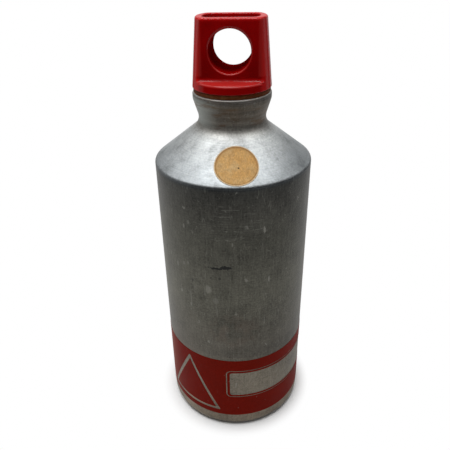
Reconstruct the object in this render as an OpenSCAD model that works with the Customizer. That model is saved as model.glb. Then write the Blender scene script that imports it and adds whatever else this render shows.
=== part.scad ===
// Camping fuel bottle: an aluminium bottle with a rolled-in thread ring and a screw stopper.
// The base stands on z = 0 and the bottle's axis is Z. The stopper's finger hole runs along Y.

/* [Bottle body] */
// Outside diameter of the body
body_d = 73; // [66:0.5:90]
// Height of the shoulder edge above the table
body_h = 145.4; // [100:0.2:240]
// Thickness of the side wall, the shoulder and the neck
wall = 1.2; // [0.8:0.1:1.6]
// Thickness of the base
base_wall = 1.8; // [1.2:0.1:3]
// Rounding of the outer edge at the base
base_edge_r = 4.2; // [2:0.1:6]
// Rounding of the corner between wall and floor inside
floor_corner_r = 3; // [1:0.1:6]
// Width of the flat ring that the bottle stands on
foot_w = 2.5; // [1:0.1:5]
// Height of the pushed-in base at its middle
base_rise = 4.5; // [2:0.1:8]
// Slope of the shoulder cone from the horizontal
shoulder_angle = 38.2; // [25:0.1:50]
// Rounding of the shoulder edge
shoulder_edge_r = 1.6; // [0.6:0.1:4]

/* [Neck] */
// Diameter at the waist, where the shoulder and the neck would meet without rounding
waist_d = 28.6; // [27.6:0.1:30]
// Rounding of the waist
waist_r = 5.8; // [3:0.1:8]
// Diameter of the lip
lip_d = 35.1; // [34.4:0.1:38]
// Height of the neck from the waist to the top of the lip
neck_h = 13.2; // [12.2:0.1:20]
// Height of the rolled lip's upright outer face
roll_h = 2.8; // [1.8:0.1:4]
// Rounding where that face meets the flared neck
roll_r = 4; // [2:0.1:6]
// Rounding of the lip's outer edge
lip_edge_r = 0.8; // [0.4:0.05:1.1]
// How far the rolled lip's inner edge stands back from the thread ring's bore
mouth_lap = 1.5; // [0.8:0.1:2]

/* [Thread ring] */
// Height of the threaded ring held in the neck
ring_h = 9; // [6:0.1:9.6]
// Wall of the ring at its lower end, outside the root of its thread
ring_wall = 0.8; // [0.6:0.05:1.2]
// Gap between the ring and the neck that is rolled round it
ring_gap = 0.1; // [0.05:0.01:0.2]
// Chamfer of the bore's ends, where the stopper's thread starts
ring_chamfer = 0.5; // [0.2:0.05:0.5]

/* [Sealing ring] */
// How far the sealing ring's edge stands back from the lip's edge
seal_inset = 0.5; // [0.2:0.1:1.4]
// Thickness of the sealing ring
seal_h = 2; // [1:0.1:3.5]
// Gap between the sealing ring and the spigot
seal_gap = 0.4; // [0.3:0.05:0.8]
// Rounding of the sealing ring's edges
seal_edge_r = 0.4; // [0.1:0.05:0.45]

/* [Stopper] */
// How far the collar's edge stands back from the lip's edge
collar_inset = 0.1; // [0:0.1:1.2]
// Height of the collar's outer face
collar_h = 3.6; // [2.6:0.1:6]
// Rounding of the collar's upper edge
collar_edge_r = 0.7; // [0.3:0.05:1]
// Slope of the ledge above the collar, from the horizontal
ledge_angle = 4.5; // [2:0.1:8]
// Height of the whole grip above the collar
grip_h = 25; // [23.6:0.1:36]
// Width of the grip over its round ends, at its top
grip_top_w = 30.2; // [28:0.1:33]
// Thickness of the grip between its two flats
grip_t = 19; // [16:0.1:21]
// Rounding of the grip's four upright edges
grip_edge_r = 3; // [1.5:0.1:3.4]
// Rounding of the rim round the pocket
rim_r = 0.9; // [0.3:0.05:1]
// Wall round the open pocket in the top
pocket_wall = 3; // [2:0.1:3.3]
// Step by which the collar stands proud of the grip's round ends
collar_step = 0.1; // [0.08:0.01:0.3]

/* [Finger hole] */
// Diameter of the finger hole
finger_d = 17.5; // [14:0.1:18]
// Height of the hole's centre above the collar's outer face
finger_h = 12.2; // [12:0.1:12.8]
// Rounding of the hole's two edges
finger_edge_r = 1.2; // [0.5:0.1:1.5]
// Wall of the tube that carries the hole through the pocket
tube_wall = 1.6; // [1.2:0.1:2]

/* [Spigot] */
// Gap between spigot and bore that the two threads fill
thread_depth = 1.4; // [0.8:0.05:1.8]
// Length of the spigot below the collar
spigot_l = 16; // [14.5:0.1:20]
// Wall of the hollow spigot
spigot_wall = 2; // [1.4:0.1:3]
// Thickness left between the spigot's hollow and the height of the ledge's outer edge
floor_t = 2.2; // [1.2:0.1:2.6]
// Chamfer of the spigot's lower end
spigot_chamfer = 0.8; // [0.3:0.1:1.2]
// Width of the slot down the spigot that lets pressure out before the thread ends
bleed_w = 3; // [1.5:0.1:5]
// Depth of that slot
bleed_depth = 0.9; // [0.4:0.1:1.1]

/* [Printed band] */
// Height of the band's lower edge above the table
band_z = 8.5; // [5:0.1:14]
// Height of the printed band
band_h = 40; // [30:0.5:60]
// Thickness of the print
ink_t = 0.1; // [0.06:0.01:0.2]
// Gap between a skin, such as print or paper, and the metal under it
skin_gap = 0.02; // [0.01:0.01:0.05]
// Height of the blank writing window in the band
window_h = 16.2; // [10:0.1:22]
// Height of the window's lower edge above the band's lower edge
window_z = 15.4; // [4:0.1:18]
// Length of the window round the body
window_l = 62; // [30:1:90]
// Angle of the window's left end, counted to the right from the front
window_angle = 0.3; // [-20:0.1:40]

/* [Sticker] */
// Diameter of the paper dot on the shoulder
sticker_d = 19.1; // [12:0.1:24]
// Thickness of the paper
sticker_t = 0.15; // [0.08:0.01:0.3]
// Distance from the shoulder edge down the slope to the dot's edge
sticker_edge_gap = 0.9; // [0.9:0.1:2]
// Angle of the dot's centre, counted to the right from the front
sticker_angle = 8; // [-60:0.5:60]

/* [Hidden] */

// Smoothness of round shapes, of the flat points in rounded outlines and of hull outlines
$fn = 96;
arc_steps = 8;
dome_steps = 10;
hull_fn = 72;
rim_steps = 3;
// A cut runs past the face that it starts from by this much
past = 1;
// Thickness of the flat outlines that a hull joins
slice_t = 0.01;

body_r = body_d / 2;
waist_x = waist_d / 2;
lip_x = lip_d / 2;
foot_x = body_r - base_edge_r - foot_w;
waist_z = body_h + (body_r - waist_x) * tan(shoulder_angle);
lip_z = waist_z + neck_h;
roll_z = lip_z - roll_h;
// Outward lean of the neck's flare, and how far down it the thread ring's lower end lies
flare = (lip_x - waist_x) / (neck_h - roll_h);
flare_reach = ring_h + wall + ring_gap - roll_h;
ring_foot_x = lip_x - flare * flare_reach - (wall + ring_gap) * norm([1, flare]);
bore_r = ring_foot_x - ring_wall;
mouth_x = bore_r + mouth_lap;
seal_top_z = lip_z + seal_h;
collar_top_z = seal_top_z + collar_h;
grip_top_z = collar_top_z + grip_h;
finger_z = collar_top_z + finger_h;
finger_r = finger_d / 2;
tube_r = finger_r + tube_wall;
pocket_z = finger_z - finger_r;
spigot_r = bore_r - thread_depth;
spigot_z = seal_top_z - spigot_l;
seal_r = lip_x - seal_inset;
collar_r = lip_x - collar_inset;
grip_top_r = grip_top_w / 2;
half_t = grip_t / 2;

// Corners of the bottle's outer skin, from the foot up to the mouth: radius, height, rounding
skin = [
    [foot_x, 0, 0],
    [body_r, 0, base_edge_r],
    [body_r, body_h, shoulder_edge_r],
    [waist_x, waist_z, waist_r],
    [lip_x, roll_z, roll_r],
    [lip_x, lip_z, lip_edge_r],
    [mouth_x, lip_z, 0]
];

// Flat part of a corner, without its rounding
function flat(p) = [p.x, p.y];
function unit(v) = v / norm(v);
// The normal on the left of the line from a to b
function left(a, b) = let (d = unit(flat(b) - flat(a))) [-d.y, d.x];
// Where the lines a-b and b-c meet when both move to the left by t
function moved_corner(a, b, c, t) =
    let (m = left(a, b), n = left(b, c))
    flat(b) + (m + n) * t / (1 + m * n);
// Whether the path turns left at b
function turns_left(a, b, c) = left(a, b) * (flat(c) - flat(b)) > 0;
// The path's inner corners moved to the left by t, with their roundings fitted
function inset(path, t) = [
    for (i = [1:len(path) - 2])
        let (a = path[i - 1], b = path[i], c = path[i + 1], p = moved_corner(a, b, c, t))
        [p.x, p.y, max(0, turns_left(a, b, c) ? b[2] - t : b[2] + t)]
];
// Points of the rounding at corner b between a and c
function arc_at(a, b, c) =
    let (u = unit(flat(a) - flat(b)), v = unit(flat(c) - flat(b)),
         half = acos(u * v) / 2,
         centre = flat(b) + unit(u + v) * b[2] / sin(half),
         start = flat(b) + u * b[2] / tan(half) - centre,
         end = flat(b) + v * b[2] / tan(half) - centre,
         from = atan2(start.y, start.x),
         turn = (atan2(end.y, end.x) - from + 540) % 360 - 180)
    [for (i = [0:arc_steps])
        centre + b[2] * [cos(from + turn * i / arc_steps), sin(from + turn * i / arc_steps)]];
// A closed outline with each corner rounded by its third value
function rounded(path) = [
    for (i = [0:len(path) - 1])
        let (a = path[(i + len(path) - 1) % len(path)], b = path[i], c = path[(i + 1) % len(path)])
        each (b[2] > 0 ? arc_at(a, b, c) : [flat(b)])
];
// Height of the pushed-in base above its foot at radius x
function dome(x) = base_rise * (1 - pow(x / foot_x, 2));
// Radius of the stopper's round side at height z, with taper from collar to rim
function side_r(z) =
    collar_r + (grip_top_r - collar_r) * (z - seal_top_z) / (grip_top_z - seal_top_z);

// A ring cut from the tapered skin of the shoulder, between two heights above the metal
module shoulder_layer(low, high) {
    inner = inset(skin, -low);
    outer = inset(skin, -high);
    rotate_extrude()
        polygon([flat(inner[1]), flat(outer[1]), flat(outer[2]), flat(inner[2])]);
}

// Impact-extruded shell: pushed-in base, straight wall, cone shoulder, waist and rolled lip
module bottle_shell() {
    inside = inset(skin, wall);
    outer_wall = [for (i = [1:len(skin) - 1]) skin[i]];
    inner_wall = [
        [mouth_x, lip_z - wall, 0],
        inside[4],
        inside[3],
        inside[2],
        inside[1],
        [body_r - wall, base_wall, floor_corner_r]
    ];
    base_under = [for (i = [0:dome_steps]) let (x = foot_x * i / dome_steps) [x, dome(x), 0]];
    base_over = [for (i = [dome_steps:-1:0])
        let (x = foot_x * i / dome_steps) [x, dome(x) + base_wall, 0]];
    color("silver")
        rotate_extrude()
            polygon(rounded(concat(base_under, outer_wall, inner_wall, base_over)));
}

// Ring with the inside thread: its back follows the flared neck and the upright lip
module neck_thread_ring() {
    lining = inset(skin, wall + ring_gap);
    bend = lining[3];
    top = lining[4];
    low_z = top.y - ring_h;
    color("darkgray")
        rotate_extrude()
            polygon([
                [bore_r, low_z + ring_chamfer],
                [bore_r + ring_chamfer / 2, low_z],
                [ring_foot_x, low_z],
                flat(bend),
                flat(top),
                [bore_r + ring_chamfer, top.y],
                [bore_r, top.y - ring_chamfer]
            ]);
}

// Flat rubber ring between the lip and the stopper's collar
module sealing_ring() {
    bore = spigot_r + seal_gap;
    color([0.16, 0.11, 0.07])
        rotate_extrude()
            polygon(rounded([
                [bore, lip_z, 0],
                [seal_r, lip_z, seal_edge_r],
                [seal_r, seal_top_z, seal_edge_r],
                [bore, seal_top_z, 0]
            ]));
}

// Plan of the grip at height z: a circle trimmed by two flats, with rounded upright edges
module grip_plan(z, shrink) {
    $fn = hull_fn;
    offset(r = grip_edge_r) offset(delta = -grip_edge_r - shrink)
        intersection() {
            circle(r = side_r(z) - collar_step);
            square([2 * collar_r, grip_t], center = true);
        }
}

module grip_slice(z, shrink) {
    translate([0, 0, z]) linear_extrude(slice_t) grip_plan(z, shrink);
}

// The grip's outer form, tapered from inside the collar up to its rounded rim
module grip_form() {
    hull() {
        grip_slice(seal_top_z + collar_h / 2, 0);
        for (i = [0:rim_steps])
            let (a = 90 * i / rim_steps)
            grip_slice(grip_top_z - slice_t - rim_r * (1 - sin(a)), rim_r * (1 - cos(a)));
    }
}

// The open pocket inside the grip
module pocket_form() {
    hull() {
        grip_slice(pocket_z, pocket_wall);
        grip_slice(grip_top_z + past, pocket_wall);
    }
}

// Collar with its sloping ledge and its rounded edge
module collar() {
    edge_r = side_r(collar_top_z);
    ledge_rise = edge_r * tan(ledge_angle);
    rotate_extrude()
        polygon(rounded([
            [0, seal_top_z, 0],
            [collar_r, seal_top_z, 0],
            [edge_r, collar_top_z, collar_edge_r],
            [0, collar_top_z + ledge_rise, 0]
        ]));
}

// A cylinder along Y through the grip
module cross_rod(r, length) {
    translate([0, length / 2, finger_z]) rotate([90, 0, 0]) cylinder(r = r, h = length);
}

// Flared mouth that rounds one edge of the finger hole
module finger_mouth() {
    edge = finger_edge_r;
    translate([0, -half_t, finger_z]) rotate([-90, 0, 0])
        rotate_extrude()
            difference() {
                translate([0, -past]) square([finger_r + edge, edge + past]);
                translate([finger_r + edge, edge]) circle(r = edge);
            }
}

// Hollow spigot that carries the outside thread and the pressure slot
module spigot() {
    hollow_r = spigot_r - spigot_wall;
    difference() {
        translate([0, 0, spigot_z]) rotate_extrude()
            polygon([
                [hollow_r, 0],
                [spigot_r - spigot_chamfer, 0],
                [spigot_r, spigot_chamfer],
                [spigot_r, spigot_l + past],
                [hollow_r, spigot_l + past]
            ]);
        translate([spigot_r - bleed_depth, -bleed_w / 2, spigot_z - past])
            cube([bleed_depth + past, bleed_w, spigot_l + past - seal_h]);
    }
}

// One red moulding: collar, hollow grip with its finger tube, and spigot
module stopper() {
    hollow_r = spigot_r - spigot_wall;
    color([0.62, 0.02, 0.05]) {
        difference() {
            union() {
                difference() {
                    union() {
                        collar();
                        grip_form();
                    }
                    difference() {
                        pocket_form();
                        cross_rod(tube_r, grip_t);
                    }
                }
                spigot();
            }
            translate([0, 0, seal_top_z - past])
                cylinder(r = hollow_r, h = collar_top_z - floor_t - seal_top_z + past);
            cross_rod(finger_r, grip_t + 2 * past);
            finger_mouth();
            mirror([0, 1, 0]) finger_mouth();
        }
    }
}

// Printed band round the foot of the wall, with the blank writing window left open
module printed_band() {
    window_turn = window_l / body_r * 180 / PI;
    color([0.55, 0.06, 0.05])
        difference() {
            translate([0, 0, band_z]) rotate_extrude()
                translate([body_r + skin_gap, 0]) square([ink_t, band_h]);
            rotate(window_angle - 90) rotate_extrude(angle = window_turn)
                translate([body_r - past, band_z + window_z]) square([2 * past + ink_t, window_h]);
        }
}

// Round paper dot that wraps over the shoulder cone
module shoulder_sticker() {
    slope = sticker_edge_gap + sticker_d / 2;
    centre_x = body_r - slope * cos(shoulder_angle);
    centre_z = body_h + slope * sin(shoulder_angle);
    color([0.78, 0.58, 0.34])
        rotate(sticker_angle) intersection() {
            shoulder_layer(skin_gap, skin_gap + sticker_t);
            translate([0, -centre_x, centre_z]) rotate([shoulder_angle, 0, 0])
                translate([0, 0, -sticker_d / 2]) cylinder(d = sticker_d, h = sticker_d);
        }
}

bottle_shell();
neck_thread_ring();
sealing_ring();
stopper();
printed_band();
shoulder_sticker();
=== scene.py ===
"""A camping fuel bottle: aluminium body, rolled-in neck ring, rubber seal and screw stopper.

Sizes in the classes are millimetres and carry the names of the part's source. Meshes are in
metres, in the part's own frame: the base stands on z = 0, the bottle's axis is Z, front is -Y.
"""

import logging
import math
from dataclasses import dataclass, field
from enum import Enum
from functools import reduce
from typing import Any, NamedTuple, Sequence

import bmesh
import bpy
import numpy as np
from mathutils import Matrix, Vector

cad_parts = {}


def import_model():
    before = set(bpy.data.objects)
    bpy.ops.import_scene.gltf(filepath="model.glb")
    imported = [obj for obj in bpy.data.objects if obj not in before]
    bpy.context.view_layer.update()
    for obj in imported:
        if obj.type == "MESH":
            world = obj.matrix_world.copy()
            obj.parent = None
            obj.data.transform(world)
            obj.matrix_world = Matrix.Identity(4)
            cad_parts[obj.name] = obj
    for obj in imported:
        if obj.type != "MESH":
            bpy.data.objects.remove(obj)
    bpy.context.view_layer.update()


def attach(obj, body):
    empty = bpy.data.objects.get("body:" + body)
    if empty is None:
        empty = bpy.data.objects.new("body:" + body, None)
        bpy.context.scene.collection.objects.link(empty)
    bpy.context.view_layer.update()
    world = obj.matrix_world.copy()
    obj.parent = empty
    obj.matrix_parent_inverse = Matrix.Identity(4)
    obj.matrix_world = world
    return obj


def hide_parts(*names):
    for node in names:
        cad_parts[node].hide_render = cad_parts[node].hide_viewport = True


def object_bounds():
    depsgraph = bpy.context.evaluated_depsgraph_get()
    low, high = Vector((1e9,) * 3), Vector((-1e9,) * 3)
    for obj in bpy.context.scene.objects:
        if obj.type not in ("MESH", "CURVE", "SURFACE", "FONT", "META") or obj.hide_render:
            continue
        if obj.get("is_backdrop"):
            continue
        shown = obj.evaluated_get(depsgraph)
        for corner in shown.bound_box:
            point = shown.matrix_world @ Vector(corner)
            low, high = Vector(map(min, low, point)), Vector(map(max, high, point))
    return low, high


LOG = logging.getLogger("fuel_bottle")
MM = 0.001
MERGED = 1e-6
SEAM_MERGED = 5e-6
COLOUR_RESULT = 2

# A Corner is x, y and the radius of its rounding. A Span is where a change begins and ends.
Colour = tuple[float, float, float]
Vec3 = tuple[float, float, float]
Corner = tuple[float, float, float]
Span = tuple[float, float]


class Mark(NamedTuple):
    """A mark on the unrolled wall: its middle, its half sizes and its strength."""

    along: float
    up: float
    wide: float
    tall: float
    strength: float


class Glow(NamedTuple):
    """A pale patch of the room: its direction, where it starts to fade and ends, its strength."""

    aim: Vec3
    inner: float
    outer: float
    strength: float


class Joining(Enum):
    """How one solid is worked into another."""

    ADD = "UNION"
    CUT = "DIFFERENCE"


class Rider(Enum):
    """The bodies of the frame that pieces ride on."""

    BOTTLE = "bottle"
    SEAL = "seal"
    STOPPER = "stopper"


# Sockets and trees


class Wire:
    """A node's output that takes part in Python arithmetic: each operation adds a Math node."""

    def __init__(self, bench: "Bench", socket: bpy.types.NodeSocket) -> None:
        """Keeps the bench that new nodes go on and the socket that is wrapped."""
        self.bench = bench
        self.socket = socket

    def maths(self, operation: str, *values: Any) -> "Wire":
        """Adds one Math node.

        Args:
            operation: the Math node's operation.
            values: wires or numbers for its inputs, in order.

        Returns:
            The node's result.
        """
        return self.bench.add("ShaderNodeMath", {"operation": operation}, dict(enumerate(values)))

    def twin(self, name: str) -> "Wire":
        """Another output of the same node."""
        return Wire(self.bench, self.socket.node.outputs[name])

    def __add__(self, other: Any) -> "Wire":
        """This plus other."""
        return self.maths("ADD", self, other)

    def __sub__(self, other: Any) -> "Wire":
        """This minus other."""
        return self.maths("SUBTRACT", self, other)

    def __rsub__(self, other: Any) -> "Wire":
        """Other minus this."""
        return self.maths("SUBTRACT", other, self)

    def __mul__(self, other: Any) -> "Wire":
        """This times other."""
        return self.maths("MULTIPLY", self, other)

    def __truediv__(self, other: Any) -> "Wire":
        """This divided by other."""
        return self.maths("DIVIDE", self, other)

    def __abs__(self) -> "Wire":
        """The size of this without its sign."""
        return self.maths("ABSOLUTE", self)

    __radd__ = __add__
    __rmul__ = __mul__

    def least(self, other: Any) -> "Wire":
        """The smaller of the two."""
        return self.maths("MINIMUM", self, other)

    def most(self, other: Any) -> "Wire":
        """The larger of the two."""
        return self.maths("MAXIMUM", self, other)

    def floor(self) -> "Wire":
        """The whole number below."""
        return self.maths("FLOOR", self)

    def root(self) -> "Wire":
        """The square root."""
        return self.maths("SQRT", self)

    def sine(self) -> "Wire":
        """The sine of an angle in radians."""
        return self.maths("SINE", self)

    def cosine(self) -> "Wire":
        """The cosine of an angle in radians."""
        return self.maths("COSINE", self)

    def rise(self, low: Any, high: Any) -> "Wire":
        """A smooth step from 0 at low to 1 at high."""
        ends = {"Value": self, "From Min": low, "From Max": high}
        return self.bench.add("ShaderNodeMapRange", {"interpolation_type": "SMOOTHSTEP"}, ends)

    def fall(self, low: Any, high: Any) -> "Wire":
        """A smooth step from 1 at low to 0 at high."""
        return 1.0 - self.rise(low, high)

    def swing(self, amount: Any) -> "Wire":
        """This noise about its middle, times amount."""
        return (self - 0.5) * amount


class Bench:
    """A node tree that is being built."""

    def __init__(self, tree: bpy.types.NodeTree) -> None:
        """Keeps the tree."""
        self.tree = tree

    def add(self, kind: str, settings: dict[str, Any] | None = None,
            sockets: dict[Any, Any] | None = None, out: int | str = 0) -> Wire:
        """Adds any node.

        Args:
            kind: the node's type.
            settings: its own settings, set first; "stops" fills a colour ramp.
            sockets: values, wires or lists of wires for its inputs, by name, identifier or index.
            out: the output that is returned.

        Returns:
            The output, as a wire.
        """
        node = self.tree.nodes.new(kind)
        for name, value in (settings or {}).items():
            if name == "stops":
                self._fill(node.color_ramp, value)
            else:
                setattr(node, name, value)
        for key, value in (sockets or {}).items():
            socket = self._inlet(node, key)
            for part in value if isinstance(value, list) else [value]:
                if isinstance(part, Wire):
                    self.tree.links.new(part.socket, socket)
                else:
                    socket.default_value = part
        return Wire(self, node.outputs[out]) if node.outputs else None

    @staticmethod
    def _inlet(node: bpy.types.Node, key: Any) -> bpy.types.NodeSocket:
        """The node's input with this index, identifier or name."""
        if isinstance(key, int):
            return node.inputs[key]
        same = [s for s in node.inputs if s.identifier == key]
        return (same or [s for s in node.inputs if s.name == key and s.enabled])[0]

    @staticmethod
    def _fill(ramp: bpy.types.ColorRamp, stops: Sequence[tuple[float, Colour]]) -> None:
        """Sets a ramp's stops from pairs of place and colour."""
        while len(ramp.elements) < len(stops):
            ramp.elements.new(1.0)
        for element, (place, colour) in zip(ramp.elements, stops):
            element.position = place
            element.color = (*colour, 1.0)

    def place(self) -> Wire:
        """The Object coordinates in millimetres."""
        return self.scaled(self.add("ShaderNodeTexCoord", {}, {}, "Object"), 1 / MM)

    def ramp(self, value: Wire, stops: Sequence[tuple[float, Colour]]) -> Wire:
        """A colour read from a ramp at value."""
        return self.add("ShaderNodeValToRGB", {"stops": stops}, {"Fac": value}, "Color")

    def split(self, vector: Wire) -> tuple[Wire, Wire, Wire]:
        """The three parts of a vector."""
        x = self.add("ShaderNodeSeparateXYZ", {}, {"Vector": vector}, "X")
        return x, x.twin("Y"), x.twin("Z")

    def join(self, x: Any, y: Any, z: Any) -> Wire:
        """A vector from its three parts."""
        return self.add("ShaderNodeCombineXYZ", {}, {"X": x, "Y": y, "Z": z})

    def vectors(self, operation: str, values: dict[Any, Any], out: int | str = 0) -> Wire:
        """Adds one Vector Math node."""
        return self.add("ShaderNodeVectorMath", {"operation": operation}, values, out)

    def stretch(self, vector: Wire, factors: Vec3) -> Wire:
        """A vector with each part multiplied by its own number."""
        return self.vectors("MULTIPLY", {0: vector, 1: factors})

    def scaled(self, vector: Wire, factor: Any) -> Wire:
        """A vector or colour multiplied by one number or wire."""
        return self.vectors("SCALE", {0: vector, "Scale": factor})

    def apart(self, vector: Wire, point: Vec3) -> Wire:
        """The distance between a vector and a fixed point."""
        return self.vectors("DISTANCE", {0: vector, 1: point}, "Value")

    def mixed(self, share: Any, first: Any, second: Any) -> Wire:
        """A colour between first, at share 0, and second, at share 1."""
        a, b = self._paint(first), self._paint(second)
        ends = {"Factor_Float": share, "A_Color": a, "B_Color": b}
        return self.add("ShaderNodeMix", {"data_type": "RGBA"}, ends, COLOUR_RESULT)

    @staticmethod
    def _paint(value: Any) -> Any:
        """A colour of three numbers with its alpha added; a wire as it is."""
        return value if isinstance(value, Wire) else (*value, 1.0)

    def noise(self, vector: Wire, scale: float, detail: float = 2.0, rough: float = 0.5) -> Wire:
        """Noise between 0 and 1."""
        values = {"Vector": vector, "Scale": scale, "Detail": detail, "Roughness": rough}
        return self.add("ShaderNodeTexNoise", {}, values, "Fac")

    def cells(self, vector: Wire, scale: float) -> tuple[Wire, Wire]:
        """Scattered cells: the distance to the nearest one, and a random number for each."""
        near = self.add("ShaderNodeTexVoronoi", {}, {"Vector": vector, "Scale": scale}, "Distance")
        tone = self.add("ShaderNodeSeparateColor", {}, {"Color": near.twin("Color")}, "Red")
        return near, tone

    def patch(self, flat: Wire, mark: Mark, ragged: Wire) -> Wire:
        """A mark's strength inside its ellipse on an unrolled surface, with a ragged edge."""
        near = self.stretch(flat, (1 / mark.wide, 1 / mark.tall, 0.0))
        reach = self.apart(near, (mark.along / mark.wide, mark.up / mark.tall, 0.0))
        return (reach + ragged).fall(0.72, 1.08) * mark.strength

    def lines(self, vector: Wire, scale: float, width: float) -> Wire:
        """Thin wandering lines, where a noise crosses its middle."""
        return abs(self.noise(vector, scale, 1.0) - 0.5).fall(width * 0.3, width)

    def warped(self, vector: Wire, scale: float, reach: float) -> Wire:
        """A vector shifted at random by up to about half of reach."""
        shift = self.noise(vector, scale, 2.0).twin("Color")
        moved_back = self.vectors("ADD", {0: vector, 1: (-reach / 2,) * 3})
        return self.vectors("MULTIPLY_ADD", {0: shift, 1: (reach,) * 3, 2: moved_back})

    def bump(self, height: Wire, distance: float) -> Wire:
        """A normal disturbed by a height map, at full strength."""
        values = {"Height": height, "Distance": distance, "Strength": 1.0}
        return self.add("ShaderNodeBump", {}, values)


def cleared(owner: Any) -> Bench:
    """An empty bench on the node tree of a new material or world."""
    owner.use_nodes = True
    owner.node_tree.nodes.clear()
    return Bench(owner.node_tree)


class FormTree:
    """A Geometry Nodes tree with named inputs, run on a mesh to give a plain mesh."""

    def __init__(self, name: str, inputs: dict[str, str]) -> None:
        """Makes the empty tree.

        Args:
            name: the tree's name.
            inputs: socket types by input name, after the geometry.
        """
        self.tree = bpy.data.node_groups.new(name, "GeometryNodeTree")
        self.bench = Bench(self.tree)
        face = self.tree.interface
        face.new_socket("Geometry", in_out="INPUT", socket_type="NodeSocketGeometry")
        face.new_socket("Geometry", in_out="OUTPUT", socket_type="NodeSocketGeometry")
        self.inlets = {
            label: face.new_socket(label, in_out="INPUT", socket_type=kind).identifier
            for label, kind in inputs.items()
        }
        self.entry = self.tree.nodes.new("NodeGroupInput")
        self.plan()

    def plan(self) -> None:
        """Adds the tree's nodes."""
        raise NotImplementedError

    def inlet(self, label: str) -> Wire:
        """The named input as a wire."""
        return Wire(self.bench, self.entry.outputs[label])

    def merged(self, shape: Wire, distance: float) -> Wire:
        """A shape with points no further apart than distance, in metres, made one."""
        parts = {"Geometry": shape, "Distance": distance}
        return self.bench.add("GeometryNodeMergeByDistance", {}, parts)

    def close(self, shape: Wire, distance: float) -> None:
        """Ends the tree: doubles merged, instances made real, the material, the group's output."""
        whole = self.merged(shape, distance)
        real = self.bench.add("GeometryNodeRealizeInstances", {}, {"Geometry": whole})
        parts = {"Geometry": real, "Material": self.inlet("Material")}
        done = self.bench.add("GeometryNodeSetMaterial", {}, parts)
        self.bench.add("NodeGroupOutput", {}, {"Geometry": done})

    def grow(self, name: str, start: bpy.types.Mesh, values: dict[str, Any]) -> bpy.types.Object:
        """Runs the tree.

        Args:
            name: the new piece's name.
            start: the mesh that goes in.
            values: a value for each named input.

        Returns:
            A plain mesh object at the origin.
        """
        carrier = placed(name, start)
        modifier = carrier.modifiers.new("form", "NODES")
        modifier.node_group = self.tree
        for label, value in values.items():
            modifier[self.inlets[label]] = value
        return renewed(carrier)


class TurningTree(FormTree):
    """Turns a section round the axis: a full turn for a lathe form, a climbing one for a thread."""

    def __init__(self) -> None:
        """Makes the tree."""
        super().__init__("turned_section", {
            "Section Points": "NodeSocketInt",
            "Steps": "NodeSocketInt",
            "Turns": "NodeSocketFloat",
            "Pitch": "NodeSocketFloat",
            "Run-out": "NodeSocketFloat",
            "Full Ends": "NodeSocketFloat",
            "Root Radius": "NodeSocketFloat",
            "Material": "NodeSocketMaterial",
        })

    def plan(self) -> None:
        """A grid whose columns are copies of the section, each turned and lifted a step further."""
        b = self.bench
        count, steps, turns = (self.inlet(n) for n in ("Section Points", "Steps", "Turns"))
        corners = {"Vertices X": steps + 1, "Vertices Y": count}
        grid = b.add("GeometryNodeMeshGrid", {}, corners, "Mesh")
        index = b.add("GeometryNodeInputIndex")
        column = ((index + 0.5) / count).floor()
        row = index - column * count + 0.5
        place = b.add("GeometryNodeInputPosition")
        picked = {"Geometry": self.inlet("Geometry"), "Value": place, "Index": row}
        settings = {"data_type": "FLOAT_VECTOR", "domain": "POINT"}
        x, _, z = b.split(b.add("GeometryNodeSampleIndex", settings, picked))
        share = column / steps
        near = share.least(1.0 - share) + self.inlet("Full Ends")
        depth = near.rise(0.0, self.inlet("Run-out"))
        foot = self.inlet("Root Radius")
        radius = foot + (x - foot) * depth
        height = z * depth + self.inlet("Pitch") * turns * share
        angle = share * turns * (2 * math.pi)
        spot = b.join(radius * angle.cosine(), radius * angle.sine(), height)
        form = b.add("GeometryNodeSetPosition", {}, {"Geometry": grid, "Position": spot})
        self.close(form, MERGED)


class WrappingTree(FormTree):
    """Wraps a flat sheet round the bottle's wall and gives it its thickness."""

    def __init__(self) -> None:
        """Makes the tree."""
        super().__init__("wrapped_sheet", {
            "Radius": "NodeSocketFloat",
            "Thickness": "NodeSocketFloat",
            "Material": "NodeSocketMaterial",
        })

    def plan(self) -> None:
        """Length along the sheet becomes angle right of the front, and the skin grows outwards."""
        b = self.bench
        radius = self.inlet("Radius")
        place = b.add("GeometryNodeInputPosition")
        along, up, _ = b.split(place)
        angle = along / radius
        spot = b.join(radius * angle.sine(), radius * angle.cosine() * -1.0, up)
        laid = {"Geometry": self.inlet("Geometry"), "Position": spot}
        ring = b.add("GeometryNodeSetPosition", {}, laid)
        under = self.merged(ring, SEAM_MERGED)
        outward = b.stretch(place, (1.0, 1.0, 0.0))
        growth = b.scaled(outward, self.inlet("Thickness") / radius)
        parts = {"Mesh": under, "Offset": growth, "Offset Scale": 1.0, "Individual": False}
        over = b.add("GeometryNodeExtrudeMesh", {"mode": "FACES"}, parts, "Mesh")
        turned = b.add("GeometryNodeFlipFaces", {}, {"Mesh": under})
        both = b.add("GeometryNodeJoinGeometry", {}, {"Geometry": [over, turned]})
        self.close(both, SEAM_MERGED)


# Meshes


def settled(obj: bpy.types.Object, name: str) -> bpy.types.Object:
    """A new plain object with obj's evaluated mesh."""
    graph = bpy.context.evaluated_depsgraph_get()
    mesh = bpy.data.meshes.new_from_object(
        obj.evaluated_get(graph), preserve_all_data_layers=True, depsgraph=graph)
    mesh.name = name
    return placed(name, mesh)


def renewed(obj: bpy.types.Object, *spent: bpy.types.Object) -> bpy.types.Object:
    """A plain object with obj's evaluated mesh and name, in place of obj and what it used up."""
    name = obj.name
    obj.name = name + "_before"
    result = settled(obj, name)
    for old in (obj, *spent):
        bpy.data.objects.remove(old)
    return result


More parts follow.
